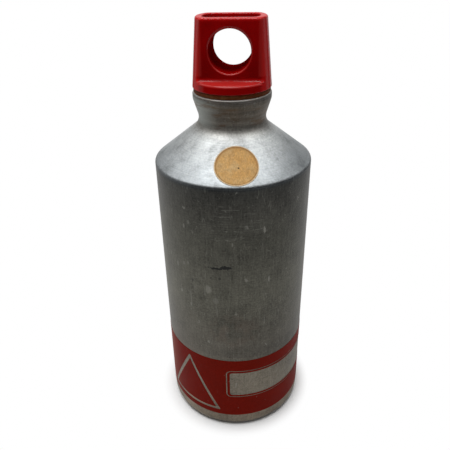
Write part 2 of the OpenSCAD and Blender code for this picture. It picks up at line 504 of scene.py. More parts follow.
def meshed(name: str, points: np.ndarray, faces: Sequence[Sequence[int]]) -> bpy.types.Mesh:
    """A mesh from points in millimetres and faces."""
    mesh = bpy.data.meshes.new(name)
    mesh.from_pydata((np.asarray(points, float) * MM).tolist(), [], [list(f) for f in faces])
    return mesh


def placed(name: str, data: bpy.types.ID) -> bpy.types.Object:
    """A mesh, curve, lamp or camera as an object at the origin."""
    piece = bpy.data.objects.new(name, data)
    bpy.context.scene.collection.objects.link(piece)
    return piece


def faced(obj: bpy.types.Object) -> bpy.types.Object:
    """Turns a closed mesh's faces outwards, after its doubles are merged."""
    form = bmesh.new()
    form.from_mesh(obj.data)
    bmesh.ops.remove_doubles(form, verts=form.verts, dist=MERGED)
    bmesh.ops.recalc_face_normals(form, faces=form.faces)
    if form.calc_volume(signed=True) < 0:
        bmesh.ops.reverse_faces(form, faces=form.faces)
    form.to_mesh(obj.data)
    form.free()
    return obj


def worked(base: bpy.types.Object, tool: bpy.types.Object, how: Joining) -> bpy.types.Object:
    """Joins tool to base or cuts it away, and removes both.

    Args:
        base: the solid that is worked.
        tool: the solid that is added or cut away.
        how: which of the two.

    Returns:
        The result, under base's name.
    """
    step = base.modifiers.new(how.name.lower(), "BOOLEAN")
    step.operation, step.solver, step.object = how.value, "EXACT", tool
    return renewed(base, tool)


def smoothed(obj: bpy.types.Object, crease: float) -> bpy.types.Object:
    """Smooth shading with sharp edges above crease degrees, and normals led by the large faces."""
    obj.data.shade_smooth()
    obj.data.set_sharp_from_angle(angle=math.radians(crease))
    led = obj.modifiers.new("led_normals", "WEIGHTED_NORMAL")
    led.keep_sharp, led.mode = True, "FACE_AREA_WITH_ANGLE"
    return renewed(obj)


def bend(radius: float, first: float, last: float, count: int) -> list[tuple[float, float]]:
    """How far each of count points of a rounding lies from its two tangents' ends.

    Args:
        radius: the rounding's radius.
        first: degrees from the first tangent at the first point.
        last: degrees at the last point.
        count: how many points.

    Returns:
        Pairs of radius * (1 - cosine) and radius * (1 - sine).
    """
    return [(radius * (1 - math.cos(a)), radius * (1 - math.sin(a)))
            for a in np.radians(np.linspace(first, last, count))]


def unit(vector: np.ndarray) -> np.ndarray:
    """The vector at length 1."""
    return vector / np.linalg.norm(vector)


def moved(path: Sequence[Corner], distance: float) -> list[Corner]:
    """A closed outline moved to the left of its direction, with its roundings fitted.

    Args:
        path: corners as x, y and rounding.
        distance: how far each side moves.

    Returns:
        The moved corners.
    """
    result = []
    for i, corner in enumerate(path):
        a, b = np.array(path[i - 1][:2]), np.array(corner[:2])
        c = np.array(path[(i + 1) % len(path)][:2])
        (ux, uy), (vx, vy) = unit(b - a), unit(c - b)
        m, n = np.array([-uy, ux]), np.array([-vy, vx])
        spot = b + (m + n) * distance / (1 + m @ n)
        change = -distance if m @ (c - b) > 0 else distance
        result.append((*spot, max(0.0, corner[2] + change)))
    return result


def rounded(path: Sequence[Corner], step: float = 6.0) -> np.ndarray:
    """Points of a closed outline with each corner rounded by its third value.

    Args:
        path: corners as x, y and rounding.
        step: the most degrees between two points of a rounding.

    Returns:
        The points, one row each.
    """
    points = []
    for i, corner in enumerate(path):
        here, radius = np.array(corner[:2]), corner[2]
        if radius <= 0:
            points.append(here)
            continue
        back = unit(np.array(path[i - 1][:2]) - here)
        ahead = unit(np.array(path[(i + 1) % len(path)][:2]) - here)
        half = math.acos(float(np.clip(back @ ahead, -1, 1))) / 2
        centre = here + unit(back + ahead) * radius / math.sin(half)
        reach = radius / math.tan(half)
        first, last = (math.atan2(*(here + side * reach - centre)[::-1]) for side in (back, ahead))
        turn = (last - first + 3 * math.pi) % (2 * math.pi) - math.pi
        steps = max(3, math.ceil(abs(math.degrees(turn)) / step))
        for k in range(steps + 1):
            angle = first + turn * k / steps
            points.append(centre + radius * np.array([math.cos(angle), math.sin(angle)]))
    return np.array(points)


def filled_in(points: np.ndarray, longest: float) -> np.ndarray:
    """The same open outline with no two points further apart than longest."""
    result = [points[0]]
    for a, b in zip(points, points[1:]):
        parts = max(1, math.ceil(np.linalg.norm(b - a) / longest))
        result.extend(a + (b - a) * k / parts for k in range(1, parts + 1))
    return np.array(result)


def lofted(name: str, rings: Sequence[np.ndarray]) -> bpy.types.Object:
    """A closed solid through rings of equally many points."""
    count = len(rings[0])
    faces: list[Sequence[int]] = [range(count)[::-1]]
    for level in range(len(rings) - 1):
        low, high = level * count, (level + 1) * count
        faces += [(low + i, low + (i + 1) % count, high + (i + 1) % count, high + i)
                  for i in range(count)]
    faces.append(range((len(rings) - 1) * count, len(rings) * count))
    return faced(placed(name, meshed(name, np.vstack(rings), faces)))


@dataclass
class Lathe:
    """Runs the turning tree for the classes of the parts."""

    tree: TurningTree = field(default_factory=TurningTree)
    steps: int = 256
    thread_steps: int = 72

    def section(self, name: str, points: np.ndarray) -> bpy.types.Mesh:
        """The section's points as a mesh in the X-Z plane."""
        flat = np.column_stack([points[:, 0], np.zeros(len(points)), points[:, 1]])
        return meshed(name + "_section", flat, [])

    def turn(self, name: str, points: np.ndarray, steps: int | None = None,
             material: bpy.types.Material | None = None) -> bpy.types.Object:
        """A form turned once round Z.

        Args:
            name: the piece's name.
            points: the section, radius and height, closed or ending on the axis.
            steps: columns round the axis, or None for the lathe's own number.
            material: the material, or None for a solid that goes into another.

        Returns:
            The closed mesh object.
        """
        values = {"Section Points": len(points), "Steps": steps or self.steps, "Turns": 1.0,
                  "Pitch": 0.0, "Run-out": 0.1, "Full Ends": 1.0, "Root Radius": 0.0,
                  "Material": material}
        return faced(self.tree.grow(name, self.section(name, points), values))

    def thread(self, name: str, points: np.ndarray, turns: float, pitch: float, foot: float,
               run_out: float) -> bpy.types.Object:
        """A thread's ridge, fading into the wall at both ends.

        Args:
            name: the ridge's name.
            points: the closed section of the ridge, about height 0.
            turns: turns round the axis.
            pitch: climb in one turn.
            foot: the radius that the ends fade to, inside the wall.
            run_out: the share of the length over which each end fades.

        Returns:
            The closed mesh object, starting at height 0.
        """
        values = {"Section Points": len(points), "Steps": int(turns * self.thread_steps),
                  "Turns": turns, "Pitch": pitch * MM, "Run-out": run_out, "Full Ends": 0.0,
                  "Root Radius": foot * MM, "Material": None}
        return faced(self.tree.grow(name, self.section(name, points), values))


# Finishes


@dataclass(frozen=True)
class Finish:
    """A material of the bottle, and the name of its slot."""

    label: str
    slot: str

    def surface(self, b: Bench) -> dict[Any, Any]:
        """Values and wires for the Principled shader's sockets."""
        raise NotImplementedError

    def material(self) -> bpy.types.Material:
        """The finish as a new material."""
        made = bpy.data.materials.new(self.label)
        bench = cleared(made)
        shader = bench.add("ShaderNodeBsdfPrincipled", {}, self.surface(bench))
        bench.add("ShaderNodeOutputMaterial", {}, {"Surface": shader})
        return made


@dataclass(frozen=True)
class MetalGround:
    """What all layers of the worn metal read: places, zones by height, and noises."""

    place: Wire
    flat: Wire
    x: Wire
    y: Wire
    z: Wire
    wall: Wire
    slope: Wire
    neck: Wire
    cloud: Wire
    blotch: Wire
    grain: Wire
    upright: Wire
    turning: Wire


@dataclass(frozen=True)
class WornAluminium(Finish):
    """Old aluminium: a dull pitted wall, a scratched shoulder and a stained neck, with painted
    reflection, shade and highlights among its colours by height and its patches.

    Spans are the two places in millimetres between which a zone begins or ends.
    """

    label: str = "worn_aluminium"
    slot: str = "bottle_metal"
    full_height: float = 180.0
    body_r: float = 36.5
    wall_end: Span = (143.5, 145.5)
    slope_foot: Span = (145.5, 147.0)
    slope_top: Span = (157.5, 161.5)
    neck_foot: Span = (161.0, 164.5)
    shaded_side: Span = (-26.0, 2.0)
    grainy_side: Span = (2.0, 16.0)
    shoulder_shade_side: Span = (15.0, 31.0)
    shade_patch_foot: Span = (149.0, 157.0)
    shade_patch_middle: float = 1.0
    shade_patch_end: Span = (3.0, 12.0)
    highlight_foot: Span = (156.0, 160.5)
    highlight_top: Span = (160.5, 164.0)
    highlight_front: Span = (-12.0, -5.0)
    highlight_middles: Span = (-5.8, 10.0)
    highlight_end: Span = (0.0, 6.5)
    neck_highlight_top: Span = (174.0, 175.5)
    neck_highlight_side: Span = (-13.5, -3.0)
    bump_depth: float = 0.00005
    # Partly painted light: the wall lighter around 52-85 mm and darker towards 143 mm is painted
    # reflection and shade, the dark band at 143-145 mm is painted shade at the shoulder's edge, the
    # shoulder lighter towards the neck is a painted highlight, and the pale step at 176 mm is a
    # painted highlight on the lip.
    tones_and_painted_light: tuple[tuple[float, Colour], ...] = (
        (0.0, (0.235, 0.200, 0.150)),
        (8.0, (0.240, 0.198, 0.150)),
        (20.0, (0.250, 0.200, 0.152)),
        (25.0, (0.215, 0.190, 0.150)),
        (40.0, (0.210, 0.186, 0.146)),
        (52.0, (0.105, 0.096, 0.080)),
        (85.0, (0.120, 0.116, 0.094)),
        (120.0, (0.090, 0.088, 0.073)),
        (135.0, (0.078, 0.076, 0.066)),
        (143.2, (0.058, 0.058, 0.053)),
        (144.1, (0.044, 0.048, 0.049)),
        (144.7, (0.060, 0.066, 0.070)),
        (145.2, (0.125, 0.134, 0.139)),
        (145.7, (0.265, 0.283, 0.292)),
        (150.0, (0.315, 0.334, 0.342)),
        (158.5, (0.380, 0.393, 0.392)),
        (161.3, (0.285, 0.282, 0.265)),
        (163.6, (0.255, 0.238, 0.208)),
        (167.0, (0.190, 0.168, 0.140)),
        (173.0, (0.168, 0.148, 0.122)),
        (175.4, (0.140, 0.130, 0.120)),
        (176.1, (0.360, 0.345, 0.325)),
    )
    scratch: Colour = (0.34, 0.335, 0.30)
    # A painted highlight colour for the neck's left side.
    neck_highlight: Colour = (0.31, 0.33, 0.31)
    # Colour of real tarnished blotches and specks, and of painted shade on the shoulder's right
    # side.
    tarnish_and_shade: Colour = (0.095, 0.105, 0.110)
    soot: Colour = (0.010, 0.010, 0.010)
    stain: Colour = (0.120, 0.072, 0.040)
    rust: Colour = (0.130, 0.075, 0.055)
    pale_marks: tuple[Mark, ...] = (
        Mark(-9.3, 92.5, 1.6, 2.5, 0.26), Mark(-5.8, 86.5, 1.5, 1.9, 0.16),
        Mark(-20.7, 124.0, 0.6, 1.2, 0.26), Mark(-17.9, 126.6, 0.6, 1.0, 0.22),
        Mark(-15.8, 122.0, 0.5, 0.8, 0.18), Mark(-26.6, 101.2, 0.9, 1.3, 0.22),
        Mark(-22.1, 103.5, 0.6, 1.1, 0.20), Mark(-19.5, 104.6, 0.6, 1.1, 0.20),
        Mark(16.9, 124.2, 0.6, 1.7, 0.42), Mark(19.8, 97.4, 0.4, 1.9, 0.42),
        Mark(2.6, 118.2, 0.35, 1.1, 0.24), Mark(-19.0, 84.5, 0.35, 5.0, 0.20),
    )
    dark_marks: tuple[Mark, ...] = (
        Mark(-3.6, 99.6, 0.7, 0.7, 0.50), Mark(-7.6, 99.5, 0.5, 0.6, 0.45),
        Mark(-17.2, 95.6, 0.7, 0.8, 0.40), Mark(21.4, 81.8, 0.6, 0.7, 0.40),
        Mark(-4.9, 105.1, 4.0, 0.62, 0.92), Mark(-0.6, 105.8, 2.9, 1.15, 0.92),
    )
    rubbed_patch: Mark = Mark(2.0, 127.0, 17.0, 10.0, 0.24)
    rusty_patch: Mark = Mark(2.5, 68.0, 15.0, 13.0, 0.15)

    def ground(self, b: Bench) -> MetalGround:
        """Sets out the places, the zones and the noises."""
        place = b.place()
        x, y, z = b.split(place)
        return MetalGround(
            place=place, x=x, y=y, z=z,
            flat=b.join(x.maths("ARCTAN2", x, y * -1.0) * self.body_r, z, 0.0),
            wall=z.fall(*self.wall_end),
            slope=z.rise(*self.slope_foot) * z.fall(*self.slope_top),
            neck=z.rise(*self.neck_foot),
            cloud=b.noise(place, 0.035, 3.0, 0.6),
            blotch=b.noise(place, 0.16, 3.0, 0.6),
            grain=b.noise(place, 1.1, 3.0, 0.7),
            upright=b.noise(b.stretch(place, (1.0, 1.0, 0.07)), 1.2, 3.0, 0.6),
            turning=b.noise(b.stretch(place, (0.035, 0.035, 3.2)), 1.0, 3.0, 0.7),
        )

    def toned(self, b: Bench, g: MetalGround) -> Wire:
        """Tones by height with painted light, mottled, with patches of painted shade and painted
        highlights.
        """
        stops = [(level / self.full_height, tone) for level, tone in self.tones_and_painted_light]
        # worn holds the wall's mottling, streaks and grain, and painted shade that darkens the wall
        # towards its right side.
        worn = (1.0 + g.cloud.swing(0.9) + g.blotch.swing(0.55)
                + g.grain.swing(1.3 - 0.7 * g.neck) + g.upright.swing(0.5)
                + g.turning.swing(0.5 + 0.6 * g.neck) - 0.26 * g.x.rise(*self.shaded_side))
        brushed = (1.0 + g.cloud.swing(0.5) + g.blotch.swing(0.7) + g.turning.swing(0.5)
                   + g.grain.swing(0.85 + 0.2 * g.x.rise(*self.grainy_side)))
        # Painted shade over the shoulder's middle strip, growing towards the neck.
        dull = g.z.rise(*self.shade_patch_foot) * abs(g.x - self.shade_patch_middle).fall(*self.shade_patch_end)
        # Two painted highlights on the front of the shoulder, left and right of the neck's foot.
        left, right = (abs(g.x - middle).fall(*self.highlight_end) for middle in self.highlight_middles)
        painted_highlights = (g.z.rise(*self.highlight_foot) * g.z.fall(*self.highlight_top)
                  * g.y.fall(*self.highlight_front) * (left + right))
        level = worn * (1.0 - g.slope) + (brushed - 0.38 * dull) * g.slope + painted_highlights * 0.34
        metal = b.scaled(b.ramp(g.z / self.full_height, stops), level)
        # Painted shade on the shoulder's right side, together with real tarnished blotches.
        dim = g.slope * (g.x.rise(*self.shoulder_shade_side) * 0.46 + g.blotch.fall(0.28, 0.44) * 0.25)
        # A painted highlight on the neck's left side.
        bright = g.neck * g.z.fall(*self.neck_highlight_top) * g.x.fall(*self.neck_highlight_side) * 0.8
        return b.mixed(bright, b.mixed(dim, metal, self.tarnish_and_shade), self.neck_highlight)

    def marked(self, b: Bench, g: MetalGround, marks: Sequence[Mark]) -> Wire:
        """The strongest of several ragged marks at each place."""
        return reduce(Wire.most, [b.patch(g.flat, mark, g.grain.swing(2.4)) for mark in marks])

    def scratched(self, b: Bench, g: MetalGround, metal: Wire) -> tuple[Wire, Wire]:
        """Pits, specks, fine scratches and pale scuffs.

        Args:
            b: the bench of the material.
            g: the metal's ground.
            metal: the colour so far.

        Returns:
            The colour with the marks on it, and how deep they cut.
        """
        warped = b.warped(g.place, 0.9, 2.2)
        pit, pick = b.cells(b.stretch(warped, (1.0, 1.0, 0.6)), 0.22)
        pits = pit.fall(0.08, 0.18) * pick.rise(0.70, 0.76) * g.wall
        speck, choice = b.cells(warped, 0.62)
        specks = speck.fall(0.10, 0.26) * choice.rise(0.72, 0.80)
        across = b.lines(b.stretch(g.place, (0.10, 0.10, 1.5)), 0.55, 0.014)
        steep = b.lines(b.stretch(g.place, (1.1, 1.1, 0.13)), 0.42, 0.010)
        random = b.lines(b.stretch(g.place, (0.5, 1.3, 0.9)), 0.60, 0.010)
        rubbed = across * b.patch(g.flat, self.rubbed_patch, g.blotch.swing(2.0))
        lines = (g.wall * (pits * 0.28 + specks * 0.14 + steep * 0.14 + rubbed)
                 + (g.slope + g.neck).least(1.0) * random * 0.36)
        marks = lines.most(self.marked(b, g, self.pale_marks)).least(1.0)
        metal = b.mixed(marks, metal, self.scratch)
        metal = b.mixed(g.slope * specks * 0.35, metal, self.tarnish_and_shade)
        return metal, pits * 0.6 + specks * 0.4 + random * 0.3

    def surface(self, b: Bench) -> dict[Any, Any]:
        """Toned and scratched metal, with smears in the neck, a rusty bloom and dark smudges."""
        g = self.ground(b)
        metal, cuts = self.scratched(b, g, self.toned(b, g))
        smears = b.noise(b.stretch(g.place, (0.07, 0.07, 0.45)), 1.0, 4.0, 0.65)
        metal = b.mixed(smears.rise(0.50, 0.64) * g.neck * 0.6, metal, self.stain)
        rusty = b.patch(g.flat, self.rusty_patch, g.blotch.swing(2.4)) * g.blotch.rise(0.38, 0.62)
        metal = b.mixed(rusty, metal, self.rust)
        smudge = self.marked(b, g, self.dark_marks)
        gloss = 0.36 + 0.12 * g.cloud + 0.14 * g.grain + 0.05 * g.neck + 0.04 * g.slope
        relief = g.upright * 0.5 + g.grain * 0.7 + g.turning * 0.5 + g.blotch * 1.5
        return {
            "Base Color": b.mixed(smudge, metal, self.soot),
            "Metallic": 0.92 - 0.4 * smudge,
            "Roughness": gloss + smudge * 0.2,
            "Normal": b.bump(relief - cuts, self.bump_depth),
        }


@dataclass(frozen=True)
class TurnedAluminium(Finish):
    """The neck ring's machined aluminium."""

    label: str = "turned_aluminium"
    slot: str = "ring_metal"
    bare: Colour = (0.33, 0.32, 0.30)
    dull: Colour = (0.16, 0.15, 0.13)
    bump_depth: float = 0.00002

    def surface(self, b: Bench) -> dict[Any, Any]:
        """Fine turning marks with dull patches."""
        place = b.place()
        marks = b.noise(b.stretch(place, (0.1, 0.1, 6.0)), 1.0, 3.0, 0.6)
        patch = b.noise(place, 0.3, 3.0, 0.6)
        return {
            "Base Color": b.mixed(patch.rise(0.4, 0.65), self.bare, self.dull),
            "Metallic": 0.95,
            "Roughness": 0.30 + 0.2 * patch,
            "Normal": b.bump(marks, self.bump_depth),
        }


@dataclass(frozen=True)
class DarkRubber(Finish):
    """Aged brown-black rubber with a slightly pressed, dusty surface."""

    label: str = "dark_rubber"
    slot: str = "seal_rubber"
    deep: Colour = (0.120, 0.029, 0.006)
    dusty: Colour = (0.165, 0.062, 0.022)
    bump_depth: float = 0.00006

    def surface(self, b: Bench) -> dict[Any, Any]:
        """Dust in patches over a fine grain."""
        place = b.place()
        patch = b.noise(place, 0.45, 4.0, 0.6)
        grain = b.noise(place, 5.0, 2.0)
        return {
            "Base Color": b.mixed(patch.rise(0.42, 0.72), self.deep, self.dusty),
            "Roughness": 0.55 + 0.2 * patch,
            "Specular IOR Level": 0.08,
            "Normal": b.bump(grain + patch, self.bump_depth),
        }


@dataclass(frozen=True)
class RedPlastic(Finish):
    """Glossy red moulded plastic, a little scratched, with painted light on its sides, rim, edges,
    finger hole and ledge, and painted shade low on its flats.

    Spans are the two places in millimetres between which a zone begins or ends.
    """

    label: str = "red_plastic"
    slot: str = "stopper_plastic"
    red: Colour = (0.345, 0.0004, 0.0006)
    deep: Colour = (0.285, 0.0002, 0.0004)
    dim: Colour = (0.225, 0.0002, 0.0003)
    # A painted light colour for the round sides and the top rim.
    side: Colour = (0.480, 0.0040, 0.0040)
    # The pale colour of real scratches and of painted highlights and ledge light.
    worn: Colour = (0.560, 0.040, 0.034)
    hole_z: float = 193.87
    hole_foot: Span = (185.37, 188.37)
    bore_end: Span = (8.80, 8.95)
    mouth_start: Span = (8.87, 9.01)
    mouth_end: Span = (9.30, 9.50)
    ledge_foot: Span = (180.7, 181.4)
    ledge_top: Span = (182.9, 183.5)
    ledge_out: Span = (9.9, 10.6)
    lit_side_out: Span = (12.3, 14.3)
    lit_rim_up: Span = (205.0, 206.0)
    edge_highlight_across: Span = (11.4, 12.4)
    edge_highlight_out: Span = (7.4, 8.2)
    edge_highlight_up: Span = (183.5, 184.5)
    dim_foot: Span = (182.8, 184.0)
    dim_top: Span = (186.0, 200.0)
    dim_out: Span = (3.0, 10.0)
    bump_depth: float = 0.00006

    def surface(self, b: Bench) -> dict[Any, Any]:
        """Flow clouds, fine scratches, painted light on the ledge, sides, rim, edges and mouth,
        painted shade on the flats, and a dull bore for the finger.
        """
        place = b.place()
        x, y, z = b.split(place)
        across, out = abs(x), abs(y)
        rise = z - self.hole_z
        bore = (x * x + rise * rise).root()
        # Painted light on the top-lit ledge, broken up by grain.
        ledge = z.rise(*self.ledge_foot) * z.fall(*self.ledge_top) * out.rise(*self.ledge_out)
        # Painted light on the round sides and a painted highlight on the top rim.
        edges = across.rise(*self.lit_side_out).most(z.rise(*self.lit_rim_up) * 0.9)
        # A painted highlight along the flats' rounded vertical edges.
        ridge = (across.rise(*self.edge_highlight_across) * out.rise(*self.edge_highlight_out)
                 * z.rise(*self.edge_highlight_up))
        # A painted highlight round the finger hole's mouth, strongest at its lower lip.
        mouth = bore.rise(*self.mouth_start) * bore.fall(*self.mouth_end)
        lip = mouth * (0.4 + 0.6 * z.fall(*self.hole_foot))
        cloud = b.noise(place, 0.09, 3.0, 0.55)
        grain = b.noise(place, 3.0, 3.0, 0.6)
        steep = b.noise(b.stretch(place, (4.0, 4.0, 0.25)), 1.0, 2.0, 0.6)
        level = b.noise(b.stretch(place, (0.3, 0.3, 5.0)), 1.0, 2.0, 0.6)
        fine = steep.rise(0.66, 0.78) + level.rise(0.68, 0.80)
        shade = z.fall(*self.dim_top) * z.rise(*self.dim_foot) * across.rise(*self.dim_out)
        colour = b.mixed(cloud.rise(0.35, 0.70), self.deep, self.red)
        colour = b.mixed(edges, b.mixed(shade, colour, self.dim), self.side)
        # Real fine scratches plus painted highlights on the mouth and edges and painted light on
        # the ledge.
        rubbed = fine * 0.18 + lip * 0.9 + ridge * 0.3 + ledge * (0.28 + 0.28 * grain)
        return {
            "Base Color": b.mixed(rubbed.least(1.0), colour, self.worn),
            "Roughness": 0.45,
            "Specular IOR Level": 0.0,
            "Coat Weight": 0.38 * bore.rise(*self.bore_end),
            "Coat Roughness": 0.06,
            "Normal": b.bump(cloud * 3.0 + grain * 0.12 - fine * 0.12, self.bump_depth),
        }


@dataclass(frozen=True)
class ScreenInk(Finish):
    """Red printing ink with small losses that let the metal through."""

    label: str = "screen_ink"
    slot: str = "band_ink"
    red: Colour = (0.225, 0.0065, 0.0008)
    dull: Colour = (0.165, 0.0075, 0.0018)
    bare: Colour = (0.220, 0.180, 0.140)
    # A painted sheen colour for the band's left edge.
    bright: Colour = (0.330, 0.075, 0.040)
    sheen_side: Span = (-36.2, -27.0)
    bump_depth: float = 0.00004

    def surface(self, b: Bench) -> dict[Any, Any]:
        """Two reds in clouds, with pits and scratches down to the metal."""
        place = b.place()
        cloud = b.noise(place, 0.07, 3.0, 0.6)
        grain = b.noise(place, 1.6, 3.0, 0.65)
        upright = b.noise(b.stretch(place, (1.0, 1.0, 0.10)), 1.6, 3.0, 0.6)
        pit, pick = b.cells(b.stretch(place, (1.0, 1.0, 0.7)), 0.42)
        pits = pit.fall(0.10, 0.20) * pick.rise(0.86, 0.92)
        worn = (pits * 0.35 + upright.rise(0.66, 0.80) * 0.14).least(1.0)
        colour = b.scaled(b.mixed(cloud, self.dull, self.red), 0.50 + 1.0 * grain)
        # A painted sheen lightens the ink towards the band's left edge.
        side = b.split(place)[0].fall(*self.sheen_side)
        return {
            "Base Color": b.mixed(worn, b.mixed(side * 0.50, colour, self.bright), self.bare),
            "Metallic": worn * 0.7,
            "Roughness": 0.42 + 0.12 * grain,
            "Specular IOR Level": 0.03,
            "Normal": b.bump(grain * 0.5 + upright * 0.4 - pits * 0.5, self.bump_depth),
        }


@dataclass(frozen=True)
class AgedPaper(Finish):
    """Orange-tan paper, browned in patches, with a dark ring inside its pale cut edge."""

    label: str = "aged_paper"
    slot: str = "sticker_paper"
    centre: Vec3 = (0.0, 0.0, 0.0)
    radius: float = 9.55
    fleck: Vec3 = (4.86, -28.83, 151.1)
    fleck_end: Span = (0.30, 0.55)
    upper_edge_foot: Span = (-2.5, 1.5)
    edge_start: Span = (-0.55, -0.35)
    ring_start: Span = (-1.1, -0.8)
    ring_end: Span = (-0.6, -0.4)
    upper_edge_start: Span = (-2.0, -0.6)
    tan: Colour = (0.53, 0.300, 0.100)
    faded: Colour = (0.50, 0.330, 0.150)
    brown: Colour = (0.30, 0.15, 0.050)
    rim: Colour = (0.62, 0.50, 0.34)
    soot: Colour = (0.03, 0.02, 0.012)
    bump_depth: float = 0.00003

    def surface(self, b: Bench) -> dict[Any, Any]:
        """Faded and browned clouds, paper fibres, a ring and a pale rim, and one dark fleck."""
        place = b.place()
        cloud = b.noise(place, 0.22, 4.0, 0.65)
        fibre = b.noise(b.stretch(place, (1.0, 0.6, 0.6)), 1.6, 4.0, 0.75)
        dirt = b.noise(place, 0.40, 3.0, 0.6).rise(0.50, 0.68)
        out = b.apart(place, self.centre) - self.radius
        upper = (b.split(place)[2] - self.centre[2]).rise(*self.upper_edge_foot)
        ring = out.rise(*self.ring_start) * out.fall(*self.ring_end) * cloud.rise(0.36, 0.52)
        # Darker towards the edge on the dot's upper part.
        upper_edge_dark = (out + fibre.swing(1.6)).rise(*self.upper_edge_start) * upper
        colour = b.mixed(cloud.rise(0.36, 0.72), self.tan, self.faded)
        colour = b.mixed((dirt * 0.30).most(upper_edge_dark * 0.75), colour, self.brown)
        colour = b.mixed(ring * 0.75, colour, self.brown)
        colour = b.mixed(out.rise(*self.edge_start) * 0.75, colour, self.rim)
        dark = b.apart(place, self.fleck).fall(*self.fleck_end)
        return {
            "Base Color": b.mixed(dark * 0.9, b.scaled(colour, 0.30 + 1.4 * fibre), self.soot),
            "Roughness": 0.78 + 0.1 * fibre,
            "Specular IOR Level": 0.25,
            "Normal": b.bump(fibre + cloud, self.bump_depth),
        }


# Parts


@dataclass(frozen=True)
class Thread:
    """A screw thread's ridge: the same in the neck and on the spigot but for its length.

    Its foot is sunk into the wall, and its crest has blunted edges.
    """

    turns: float
    run_out: float = 0.12
    pitch: float = 4.0
    depth: float = 1.15
    sunk: float = 0.3
    root_w: float = 1.7
    crest_w: float = 0.8
    blunt_in: float = 0.12
    blunt_up: float = 0.06
    blunt_down: float = 0.1

    def ridge(self, lathe: Lathe, name: str, wall_r: float, way: int,
              start_z: float) -> bpy.types.Object:
        """The ridge on a round wall.

        Args:
            lathe: the lathe that turns it.
            name: the ridge's name.
            wall_r: the wall's radius.
            way: 1 where the ridge stands outwards, -1 where it stands inwards.
            start_z: the height where it starts.

        Returns:
            The closed mesh object.
        """
        foot, crest = wall_r - way * self.sunk, wall_r + way * self.depth
        shelf = crest - way * self.blunt_in
        half, tip = self.root_w / 2, self.crest_w / 2
        side = [(foot, half), (shelf, tip + self.blunt_up), (crest, tip - self.blunt_down)]
        section = [(r, -z) for r, z in side] + side[::-1] + [(foot, -half)]
        ridge = lathe.thread(name, np.array(section), self.turns, self.pitch, foot, self.run_out)
        ridge.data.transform(Matrix.Translation((0, 0, start_z * MM)))
        return ridge


@dataclass
class BottleShell:
    """The drawn aluminium bottle, in one piece from the pushed-in base to the rolled lip."""

    lathe: Lathe
    body_d: float = 73.0
    body_h: float = 145.4
    wall: float = 1.2
    base_wall: float = 1.8
    base_edge_r: float = 4.2
    floor_corner_r: float = 3.0
    foot_w: float = 2.5
    base_rise: float = 4.5
    shoulder_angle: float = 38.2
    shoulder_edge_r: float = 1.6
    waist_d: float = 28.6
    waist_r: float = 5.8
    lip_d: float = 35.1
    neck_h: float = 13.2
    roll_h: float = 2.8
    roll_r: float = 4.0
    lip_edge_r: float = 0.8
    mouth_lap: float = 1.5
    mouth_edge_r: float = 0.4
    ring_h: float = 9.0
    ring_wall: float = 0.8
    ring_gap: float = 0.1
    thread_depth: float = 1.4
    foot_steps: int = 16
    longest: float = 5.0
    neck_thread: Thread = Thread(1.6)
    finish: Finish = WornAluminium()

    def __post_init__(self) -> None:
        """Works out what follows from the sizes."""
        self.body_r = self.body_d / 2
        self.slope = math.radians(self.shoulder_angle)
        self.waist_x, self.lip_x = self.waist_d / 2, self.lip_d / 2
        self.foot_x = self.body_r - self.base_edge_r - self.foot_w
        self.waist_z = self.body_h + (self.body_r - self.waist_x) * math.tan(self.slope)
        self.lip_z = self.waist_z + self.neck_h
        flare = (self.lip_x - self.waist_x) / (self.neck_h - self.roll_h)
        lining = self.wall + self.ring_gap
        self.ring_foot_x = (self.lip_x - flare * (self.ring_h + lining - self.roll_h)
                            - lining * math.hypot(1, flare))
        self.bore_r = self.ring_foot_x - self.ring_wall
        self.mouth_x = self.bore_r + self.mouth_lap
        self.spigot_r = self.bore_r - self.thread_depth
        self.ring_bend, self.ring_top = moved(self.skin(), lining)[5:7]
        self.ring_low = self.ring_top[1] - self.ring_h
        climb = self.neck_thread.turns * self.neck_thread.pitch
        self.thread_z = self.ring_low + (self.ring_h - climb) / 2

    def skin(self) -> list[Corner]:
        """Corners of the outer skin from foot to mouth, closed along the axis."""
        return [
            (0.0, 0.0, 0.0),
            (self.foot_x, 0.0, 0.0),
            (self.body_r, 0.0, self.base_edge_r),
            (self.body_r, self.body_h, self.shoulder_edge_r),
            (self.waist_x, self.waist_z, self.waist_r),
            (self.lip_x, self.lip_z - self.roll_h, self.roll_r),
            (self.lip_x, self.lip_z, self.lip_edge_r),
            (self.mouth_x, self.lip_z, self.mouth_edge_r),
            (0.0, self.lip_z, 0.0),
        ]

    def section(self) -> np.ndarray:
        """The shell's section: under the base, up the outside, down the inside to the floor."""
        skin = self.skin()
        inside = moved(skin, self.wall)
        shares = [i / self.foot_steps for i in range(self.foot_steps + 1)]
        under = [(self.foot_x * i, self.base_rise * (1 - i ** 2), 0.0) for i in shares]
        over = [(x, z + self.base_wall, 0.0) for x, z, _ in reversed(under)]
        walls = skin[2:8] + [
            (self.mouth_x, self.lip_z - self.wall, self.mouth_edge_r),
            inside[6], inside[5], inside[4], inside[3],
            (self.body_r - self.wall, self.base_wall, self.floor_corner_r),
        ]
        return filled_in(rounded(under + walls + over), self.longest)

    def make(self) -> bpy.types.Object:
        """Turns the shell and sets it on its body."""
        shell = self.lathe.turn("bottle_body", self.section(), material=self.finish.material())
        return fitted(smoothed(shell, crease=40.0), Rider.BOTTLE, "bottle_shell")


